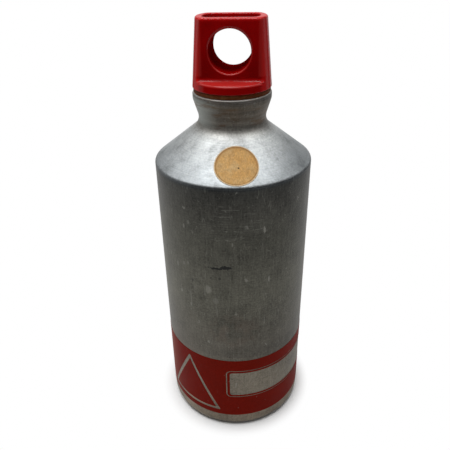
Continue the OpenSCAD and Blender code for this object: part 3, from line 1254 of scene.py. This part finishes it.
@dataclass
class NeckRing:
    """The ring with the inside thread that the neck is rolled round."""

    shell: BottleShell
    ring_chamfer: float = 0.5
    finish: Finish = TurnedAluminium()

    def make(self) -> bpy.types.Object:
        """Turns the ring, adds the thread's ridge inside it and sets it on its body."""
        s, cut = self.shell, self.ring_chamfer
        low_z, top_z = s.ring_low, s.ring_top[1]
        ring = s.lathe.turn("neck_ring", np.array([
            (s.bore_r, low_z + cut),
            (s.bore_r + cut / 2, low_z),
            (s.ring_foot_x, low_z),
            s.ring_bend[:2],
            s.ring_top[:2],
            (s.bore_r + cut, top_z),
            (s.bore_r, top_z - cut),
            (s.bore_r, low_z + cut),
        ]), steps=144)
        ridge = s.neck_thread.ridge(s.lathe, "ridge", s.bore_r, -1, s.thread_z)
        ring = smoothed(worked(ring, ridge, Joining.ADD), crease=30.0)
        dressed(ring, self.finish)
        return fitted(ring, Rider.BOTTLE, "neck_thread_ring")


@dataclass
class SealRing:
    """The flat rubber ring between the lip and the stopper."""

    shell: BottleShell
    seal_inset: float = 0.5
    seal_h: float = 2.0
    seal_gap: float = 0.4
    seal_edge_r: float = 0.4
    bore_edge_r: float = 0.2
    finish: Finish = DarkRubber()

    def make(self) -> bpy.types.Object:
        """Turns the ring and sets it on its body."""
        s = self.shell
        bore, rim = s.spigot_r + self.seal_gap, s.lip_x - self.seal_inset
        low, high = s.lip_z, s.lip_z + self.seal_h
        points = rounded([
            (bore, low, self.bore_edge_r), (rim, low, self.seal_edge_r),
            (rim, high, self.seal_edge_r), (bore, high, self.bore_edge_r),
        ], 15.0)
        seal = s.lathe.turn("seal_ring", np.vstack([points, points[:1]]),
                            material=self.finish.material())
        return fitted(smoothed(seal, crease=40.0), Rider.SEAL, "sealing_ring")


@dataclass
class ScrewStopper:
    """The red moulding: collar, grip with pocket and finger tube, and the threaded spigot."""

    shell: BottleShell
    seal: SealRing
    collar_inset: float = 0.1
    collar_h: float = 3.6
    collar_edge_r: float = 1.3
    ledge_angle: float = 4.5
    grip_h: float = 25.0
    grip_top_w: float = 30.2
    grip_t: float = 19.0
    grip_edge_r: float = 3.0
    cove_r: float = 1.6
    rim_r: float = 0.9
    inner_rim_r: float = 0.5
    pocket_wall: float = 3.0
    collar_step: float = 0.02
    finger_d: float = 17.5
    finger_h: float = 12.2
    finger_edge_r: float = 1.2
    tube_wall: float = 1.6
    spigot_l: float = 16.0
    spigot_wall: float = 2.0
    floor_t: float = 2.2
    spigot_chamfer: float = 0.8
    bleed_w: float = 3.0
    bleed_depth: float = 0.9
    bleed_reach: float = 2.5
    bleed_end: float = 2.0
    seat_edge_r: float = 0.35
    grip_start: float = 1.5
    pocket_start: float = 1.0
    pocket_floor_r: float = 1.0
    roof_edge_r: float = 0.8
    tube_reach: float = 14.0
    mouth_out: float = 0.35
    mouth_up: float = 0.06
    mouth_past: float = 3.0
    past: float = 2.0
    lap: float = 1.0
    side_points: int = 17
    edge_points: int = 13
    thread: Thread = Thread(2.6, run_out=0.08)
    finish: Finish = RedPlastic()

    def __post_init__(self) -> None:
        """Works out what follows from the sizes."""
        self.seat_z = self.shell.lip_z + self.seal.seal_h
        self.collar_z = self.seat_z + self.collar_h
        self.top_z = self.collar_z + self.grip_h
        self.collar_r = self.shell.lip_x - self.collar_inset
        self.finger_z = self.collar_z + self.finger_h
        self.finger_r = self.finger_d / 2
        self.pocket_z = self.finger_z - self.finger_r
        self.spigot_r = self.shell.spigot_r
        self.spigot_z = self.seat_z - self.spigot_l

    def side_r(self, z: float) -> float:
        """Radius of the round sides at height z."""
        share = (z - self.seat_z) / (self.top_z - self.seat_z)
        return self.collar_r + (self.grip_top_w / 2 - self.collar_r) * share

    def outline(self, z: float, shrink: float, swell: float = 0.0) -> np.ndarray:
        """The grip's plan at height z: a circle trimmed by two flats, its four edges rounded.

        Args:
            z: the height, which sets the circle's radius.
            shrink: how far the outline lies inside the grip's skin.
            swell: how far the two flats stand out.

        Returns:
            The closed outline's points at that height, always equally many.
        """
        r = self.side_r(z) - self.collar_step - shrink
        t, f = self.grip_t / 2 - shrink + swell, self.grip_edge_r
        middle = math.sqrt((r - f) ** 2 - (t - f) ** 2)
        lean = math.atan2(t - f, middle)
        side = [(r * math.cos(a), r * math.sin(a))
                for a in np.linspace(0, lean, self.side_points)]
        edge = [(middle + f * math.cos(a), t - f + f * math.sin(a))
                for a in np.linspace(lean, math.pi / 2, self.edge_points)]
        face = [(x, t) for x in np.linspace(middle, 0, self.edge_points)]
        quarter = np.array(side + edge[1:] + face[1:])
        back = quarter[::-1]
        loop = np.vstack([quarter[:-1], (back * (-1, 1))[:-1],
                          (quarter * (-1, -1))[:-1], (back * (1, -1))[:-1]])
        return np.column_stack([loop, np.full(len(loop), z)])

    def grip(self) -> bpy.types.Object:
        """The grip's outer form, with coves at the foot of its flats and its rim rounded."""
        foot, cove, rim_z = self.collar_z, self.cove_r, self.top_z - self.rim_r
        rings = [self.outline(self.seat_z + self.collar_h / 2, 0.0, cove)]
        rings += [self.outline(foot + up, 0.0, swell) for up, swell in bend(cove, 0, 90, 9)]
        rings += [self.outline(z, 0.0)
                  for z in np.linspace(foot + cove + self.grip_start, rim_z, 12)]
        rings += [self.outline(self.top_z - down, shrink)
                  for shrink, down in bend(self.rim_r, 10, 90, 9)]
        return lofted("screw_stopper", rings)

    def pocket(self) -> bpy.types.Object:
        """What is cut out of the grip's top, round the finger tube."""
        low, high, wall, rim = self.pocket_z, self.top_z, self.pocket_wall, self.inner_rim_r
        first = low + self.pocket_floor_r + self.pocket_start
        rings = [self.outline(low + up, wall + shrink)
                 for up, shrink in bend(self.pocket_floor_r, 0, 90, 7)]
        rings += [self.outline(z, wall) for z in np.linspace(first, high - rim, 9)]
        rings += [self.outline(high - down, wall - flare) for flare, down in bend(rim, 10, 80, 8)]
        last = rings[-1].copy()
        last[:, 2] = high + self.past
        pocket = lofted("pocket", rings + [last])
        r, reach = self.finger_r + self.tube_wall, self.tube_reach
        tube = self.across("tube", [(0, -reach), (r, -reach), (r, reach), (0, reach)])
        return worked(pocket, tube, Joining.CUT)

    def across(self, name: str, points: Sequence[tuple[float, float]]) -> bpy.types.Object:
        """A form turned round the finger hole's axis, from radius and distance along it."""
        form = self.shell.lathe.turn(name, np.array(points, float), steps=128)
        turn = Matrix.Rotation(math.radians(90), 4, "X")
        form.data.transform(Matrix.Translation((0, 0, self.finger_z * MM)) @ turn)
        return form

    def finger(self) -> bpy.types.Object:
        """What is cut out for the finger, with rounded mouths."""
        r, e, face = self.finger_r, self.finger_edge_r, self.grip_t / 2
        end = face + self.mouth_past
        flare = [(r + e + e * math.cos(a), face - e + e * math.sin(a))
                 for a in np.radians(np.linspace(180, 100, 12))]
        widest = flare[-1][0] + self.mouth_out
        mouth = flare + [(widest, face + self.mouth_up), (widest, end), (0, end)]
        return self.across("finger", [(x, -y) for x, y in mouth[::-1]] + mouth)

    def collar(self) -> bpy.types.Object:
        """The round collar with its sloping ledge."""
        edge = self.side_r(self.collar_z)
        rise = edge * math.tan(math.radians(self.ledge_angle))
        points = rounded([
            (0, self.seat_z, 0), (self.collar_r, self.seat_z, self.seat_edge_r),
            (edge, self.collar_z, self.collar_edge_r), (0, self.collar_z + rise, 0),
        ], 8.0)
        return self.shell.lathe.turn("collar", points, steps=192)

    def spigot(self) -> bpy.types.Object:
        """The spigot, not yet hollow, with its thread half a pitch off the neck's."""
        r, low, cut = self.spigot_r, self.spigot_z, self.spigot_chamfer
        high = self.seat_z + self.lap
        core = self.shell.lathe.turn("spigot", np.array([
            (0, low), (r - cut, low), (r, low + cut), (r, high), (0, high),
        ]), steps=144)
        start = self.shell.thread_z - self.thread.pitch / 2
        ridge = self.thread.ridge(self.shell.lathe, "spigot_ridge", r, 1, start)
        return worked(core, ridge, Joining.ADD)

    def hollow(self) -> bpy.types.Object:
        """What is cut out of the spigot, up to a roof under the ledge."""
        r, low, roof = self.spigot_r - self.spigot_wall, self.spigot_z, self.collar_z - self.floor_t
        return self.shell.lathe.turn("hollow", rounded([
            (0, low - self.past, 0), (r, low - self.past, 0), (r, roof, self.roof_edge_r),
            (0, roof, 0)]), steps=96)

    def slot(self) -> bpy.types.Object:
        """The slot down the spigot that lets pressure out."""
        near, far = self.spigot_r - self.bleed_depth, self.spigot_r + self.bleed_reach
        low, high, half = self.spigot_z - self.lap, self.seat_z - self.bleed_end, self.bleed_w / 2
        ring = np.array([(near, -half), (far, -half), (far, half), (near, half)])
        return lofted("slot", [np.column_stack([ring, np.full(4, z)]) for z in (low, high)])

    def make(self) -> bpy.types.Object:
        """Builds the moulding from its forms and sets it on its body."""
        body = self.grip()
        for form, how in ((self.collar, Joining.ADD), (self.pocket, Joining.CUT),
                          (self.spigot, Joining.ADD), (self.finger, Joining.CUT),
                          (self.hollow, Joining.CUT), (self.slot, Joining.CUT)):
            body = worked(body, form(), how)
        body = smoothed(body, crease=32.0)
        dressed(body, self.finish)
        return fitted(body, Rider.STOPPER, "stopper")


@dataclass
class PrintedBand:
    """The red band round the foot of the wall, with its window and its lines left bare."""

    shell: BottleShell
    band_z: float = 8.5
    band_h: float = 40.0
    ink_t: float = 0.1
    skin_gap: float = 0.02
    window: tuple[float, float, float, float] = (0.3, 97.6, 23.9, 40.1)
    window_r: float = 1.4
    frame: tuple[float, float, float, float] = (-2.8, 100.4, 22.4, 41.6)
    frame_r: float = 2.8
    frame_line: float = 0.6
    triangle: tuple[tuple[float, float], ...] = ((-64.4, 11.6), (-7.7, 11.6), (-36.1, 45.8))
    triangle_line: float = 1.7
    triangle_r: float = 0.7
    strips: int = 240
    finish: Finish = ScreenInk()

    def along(self, degrees: float) -> float:
        """Length round the wall for an angle to the right of the front."""
        return math.radians(degrees) * (self.shell.body_r + self.skin_gap)

    def pane(self, ends: tuple[float, float, float, float], r: float) -> list[Corner]:
        """A rounded rectangle from its end angles and heights, anticlockwise."""
        left, right, low, high = self.along(ends[0]), self.along(ends[1]), ends[2], ends[3]
        return [(left, low, r), (right, low, r), (right, high, r), (left, high, r)]

    def outlines(self) -> list[np.ndarray]:
        """The flat band's edge, then the edges of what is left bare in it."""
        half, top = self.along(180.0), self.band_z + self.band_h
        frame = self.pane(self.frame, self.frame_r)
        sign = [(self.along(a), z, self.triangle_r) for a, z in self.triangle]
        return [
            np.array([(-half, self.band_z), (half, self.band_z), (half, top), (-half, top)]),
            rounded(frame), rounded(moved(frame, self.frame_line)),
            rounded(self.pane(self.window, self.window_r)),
            rounded(sign), rounded(moved(sign, self.triangle_line)),
        ]

    def sheet(self) -> bpy.types.Mesh:
        """The flat band, filled between its outlines and cut into strips that can bend."""
        curve = bpy.data.curves.new("band_outlines", "CURVE")
        curve.dimensions, curve.fill_mode = "2D", "BOTH"
        for loop in self.outlines():
            spline = curve.splines.new("POLY")
            spline.points.add(len(loop) - 1)
            for point, (x, y) in zip(spline.points, loop * MM):
                point.co = (x, y, 0.0, 1.0)
            spline.use_cyclic_u = True
        flat, half = renewed(placed("band_sheet", curve)), self.along(180.0)
        form = bmesh.new()
        form.from_mesh(flat.data)
        bmesh.ops.remove_doubles(form, verts=form.verts, dist=MERGED)
        for face in form.faces:
            if face.normal.z < 0:
                face.normal_flip()
        for i in range(1, self.strips):
            cut = (-half + 2 * half * i / self.strips) * MM
            whole = form.verts[:] + form.edges[:] + form.faces[:]
            bmesh.ops.bisect_plane(form, geom=whole, dist=1e-7, plane_co=(cut, 0, 0),
                                   plane_no=(1, 0, 0))
        form.to_mesh(flat.data)
        form.free()
        mesh = flat.data
        bpy.data.objects.remove(flat)
        return mesh

    def make(self) -> bpy.types.Object:
        """Wraps the sheet round the wall and sets it on its body."""
        values = {"Radius": (self.shell.body_r + self.skin_gap) * MM,
                  "Thickness": self.ink_t * MM, "Material": self.finish.material()}
        band = WrappingTree().grow("printed_band_skin", self.sheet(), values)
        band = smoothed(faced(band), crease=30.0)
        return fitted(band, Rider.BOTTLE, "printed_band")


@dataclass
class PaperDot:
    """The round paper dot on the shoulder."""

    shell: BottleShell
    sticker_d: float = 19.1
    sticker_t: float = 0.15
    edge_gap: float = 0.9
    angle: float = 8.0
    skin_gap: float = 0.02
    spokes: int = 120
    shares: tuple[float, ...] = (0.0, 0.2, 0.4, 0.6, 0.75, 0.85, 0.92, 0.965, 0.99, 1.0)
    worn_edge: float = 0.7
    curl: float = 0.05
    curl_start: float = 0.8
    curl_turn: float = 1.0

    def on_cone(self, across: np.ndarray, up: np.ndarray, lift: np.ndarray) -> np.ndarray:
        """Points of the unrolled shoulder laid on the cone.

        Args:
            across: distance to the right of the dot's middle line.
            up: distance up the slope from the shoulder edge.
            lift: height above the metal.

        Returns:
            The points, one row each.
        """
        slope, apex = self.shell.slope, self.shell.body_r / math.cos(self.shell.slope)
        reach = np.hypot(across, apex - up)
        turn = np.arctan2(across, apex - up) / math.cos(slope) + math.radians(self.angle)
        radius = reach * math.cos(slope) + lift * math.sin(slope)
        height = (self.shell.body_h + (apex - reach) * math.sin(slope)
                  + lift * math.cos(slope))
        return np.column_stack([radius * np.sin(turn), -radius * np.cos(turn), height])

    def make(self) -> bpy.types.Object:
        """Lays the dot on the shoulder, its edge a little lifted, and sets it on its body."""
        r, t = self.sticker_d / 2, self.sticker_t
        middle = self.edge_gap + r
        rows = [(s, t if s < 1 else t * self.worn_edge) for s in self.shares]
        rows += [(s, 0.0) for s in reversed(self.shares)]
        angles = np.linspace(0, 2 * math.pi, self.spokes, endpoint=False)
        wave = (1 + np.sin(angles * 2 + self.curl_turn)) / 2
        rings = []
        for share, top in rows:
            rise = max(0.0, share - self.curl_start) / (1 - self.curl_start)
            lift = self.skin_gap + top + self.curl * rise * wave
            across, up = r * share * np.cos(angles), middle + r * share * np.sin(angles)
            rings.append(self.on_cone(across, up, lift))
        dot = lofted("paper_dot", rings)
        core = self.on_cone(np.zeros(1), np.array([middle]), np.zeros(1))[0]
        finish = AgedPaper(centre=tuple(float(v) for v in core), radius=r)
        dressed(dot, finish)
        return fitted(smoothed(dot, crease=40.0), Rider.BOTTLE, "shoulder_sticker")


def dressed(obj: bpy.types.Object, finish: Finish) -> None:
    """Gives a mesh the finish as its only material."""
    obj.data.materials.clear()
    obj.data.materials.append(finish.material())
    for face in obj.data.polygons:
        face.material_index = 0


def fitted(obj: bpy.types.Object, rider: Rider, node: str) -> bpy.types.Object:
    """Puts a finished piece in its node's place on its body.

    Args:
        obj: the piece.
        rider: the body that it moves with.
        node: the node that it stands for.

    Returns:
        The piece.
    """
    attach(obj, rider.value)
    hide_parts(node)
    LOG.info("%s: %d faces on %s", obj.name, len(obj.data.polygons), rider.value)
    return obj


# Studio


@dataclass(frozen=True)
class PaleFloor:
    """The floor's paint: pale, white away from the bottle, clear from below and to the base.

    Spans are distances in millimetres from the bottle's axis, but a ray's length is in metres.
    """

    near: Colour = (0.97, 0.97, 0.97)
    quiet: Colour = (0.62, 0.62, 0.62)
    seen_white: Span = (35.0, 45.0)
    mirrored_white: Span = (38.0, 260.0)
    under_base: Span = (29.0, 31.0)
    short_ray: Span = (0.006, 0.007)

    def material(self) -> bpy.types.Material:
        """The floor as a new material."""
        made = bpy.data.materials.new("pale_floor")
        b = cleared(made)
        clear, mirrored = background_rays(b)
        out = b.apart(b.place(), (0.0, 0.0, 0.0))
        away = (clear * out.rise(*self.seen_white)).most(mirrored * out.rise(*self.mirrored_white))
        tone = b.mixed(clear.most(mirrored), self.quiet, self.near)
        paint = b.add("ShaderNodeBsdfDiffuse", {}, {"Color": tone})
        white = b.add("ShaderNodeEmission", {}, {"Color": (1.0, 1.0, 1.0, 1.0), "Strength": 1.0})
        both = b.add("ShaderNodeMixShader", {}, {0: away, 1: paint, 2: white})
        length = b.add("ShaderNodeLightPath", {}, {}, "Ray Length")
        short = length.fall(*self.short_ray) * out.fall(*self.under_base)
        below = b.add("ShaderNodeNewGeometry", {}, {}, "Backfacing").most(short)
        gone = b.add("ShaderNodeBsdfTransparent")
        whole = b.add("ShaderNodeMixShader", {}, {0: below, 1: both, 2: gone})
        b.add("ShaderNodeOutputMaterial", {}, {"Surface": whole})
        return made


def background_rays(b: Bench) -> tuple[Wire, Wire]:
    """The rays that see the background: 1 for camera and transmission rays, 1 for glossy rays."""
    ray = b.add("ShaderNodeLightPath", {}, {}, "Is Camera Ray")
    return ray.most(ray.twin("Is Transmission Ray")), ray.twin("Is Glossy Ray")


@dataclass
class Studio:
    """A pale floor, soft lamps and the camera at the photograph's angle."""

    front_light: float = 0.13
    back_light: float = 0.45
    walls: tuple[tuple[float, float], ...] = (
        (-1.0, 0.04), (-0.10, 0.06), (0.10, 0.16), (0.44, 0.16), (0.52, 0.55), (0.67, 0.55),
        (0.73, 0.14), (0.81, 0.14), (0.87, 0.95), (1.0, 0.95),
    )
    ceiling: float = 0.6
    ceiling_foot: Span = (0.3, 0.7)
    glows: tuple[Glow, ...] = (
        Glow((-0.60, 0.20, 0.77), 0.18, 0.66, 1.05),
        Glow((-0.97, 0.20, -0.05), 0.16, 0.42, 0.5),
        Glow((0.58, 0.36, 0.73), 0.12, 0.46, 1.0),
        Glow((0.45, -0.01, 0.89), 0.08, 0.28, 6.0),
    )
    key_power: float = 7.4
    key_radius: float = 0.34
    key_place: Vec3 = (-0.10, -0.08, 0.95)
    key_aim: Vec3 = (0.0, 0.0, 0.1)
    turn_to_back: Span = (-0.5, 0.5)
    floor_half: float = 600.0
    floor_front: float = -430.0
    focal: float = 39.07
    sensor_w: float = 36.0
    clip: Span = (0.01, 50.0)
    distance: float = 216.34
    height: float = 231.95
    azimuth: float = 5.17
    pitch: float = 29.94
    roll: float = -1.31
    yaw: float = -1.19

    def floor(self) -> None:
        """A pale floor round the bottle; what lies beyond it is the room's own light."""
        half, front = self.floor_half, self.floor_front
        spots = [(-half, front, 0), (half, front, 0), (half, half, 0), (-half, half, 0)]
        mesh = meshed("studio_floor", np.array(spots), [(0, 1, 2, 3)])
        floor = placed("studio_floor", mesh)
        mesh.materials.append(PaleFloor().material())
        floor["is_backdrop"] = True

    def lamps(self) -> None:
        """One large soft lamp overhead."""
        data = bpy.data.lights.new("overhead_softbox", "AREA")
        data.shape, data.size, data.energy = "DISK", 2 * self.key_radius, self.key_power
        lamp = placed("overhead_softbox", data)
        lamp.location = self.key_place
        aim = Vector(self.key_aim) - Vector(self.key_place)
        lamp.rotation_euler = aim.to_track_quat("-Z", "Y").to_euler()

    def world(self) -> None:
        """Quiet light from all round; white where the background is seen, a dim room in front."""
        world = bpy.data.worlds.new("studio_world")
        bpy.context.scene.world = world
        b = cleared(world)
        clear, mirrored = background_rays(b)
        aim = b.add("ShaderNodeTexCoord", {}, {}, "Generated")
        _, back, up = b.split(aim)
        levels = b.ramp((back + 1.0) * 0.5, [((at + 1) / 2, (v, v, v)) for at, v in self.walls])
        shown = b.split(levels)[0] + self.ceiling * up.rise(*self.ceiling_foot)
        for glow in self.glows:
            shown = shown + b.apart(aim, glow.aim).fall(glow.inner, glow.outer) * glow.strength
        change = self.back_light - self.front_light
        soft = self.front_light + change * back.rise(*self.turn_to_back)
        strength = soft + clear * (1.0 - soft) + mirrored * (shown - soft)
        light = {"Color": (1.0, 1.0, 1.0, 1.0), "Strength": strength}
        b.add("ShaderNodeOutputWorld", {}, {"Surface": b.add("ShaderNodeBackground", {}, light)})

    def camera(self) -> None:
        """The camera that took the photograph, as fitted to its outlines."""
        pitch, yaw, roll = (math.radians(a) for a in (self.pitch, self.yaw, self.roll))
        ahead = Vector((math.sin(yaw) * math.cos(pitch), math.cos(yaw) * math.cos(pitch),
                        -math.sin(pitch)))
        right = Vector((math.cos(yaw), -math.sin(yaw), 0))
        up = right.cross(ahead)
        across = right * math.cos(roll) + up * math.sin(roll)
        upright = up * math.cos(roll) - right * math.sin(roll)
        pose = Matrix((across, upright, -ahead)).transposed().to_4x4()
        pose.translation = Vector((0, -self.distance, self.height)) * MM
        data = bpy.data.cameras.new("studio_camera")
        data.lens, data.sensor_width = self.focal, self.sensor_w
        data.clip_start, data.clip_end = self.clip
        camera = placed("studio_camera", data)
        camera.matrix_world = Matrix.Rotation(math.radians(self.azimuth), 4, "Z") @ pose
        bpy.context.scene.camera = camera

    def make(self) -> None:
        """Sets up the whole studio."""
        self.camera()
        self.floor()
        self.lamps()
        self.world()
        bpy.context.scene.view_settings.view_transform = "Standard"


def corners() -> list[list[float]]:
    """The shown object's lowest and highest corners as plain lists."""
    return [[float(v) for v in corner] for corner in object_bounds()]


def main() -> None:
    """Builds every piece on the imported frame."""
    logging.basicConfig(level=logging.INFO, format="%(name)s: %(message)s")
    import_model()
    Studio().make()
    shell = BottleShell(Lathe())
    seal = SealRing(shell)
    for part in (shell, NeckRing(shell), seal, ScrewStopper(shell, seal), PrintedBand(shell),
                 PaperDot(shell)):
        part.make()


if __name__ == "__main__":
    main()
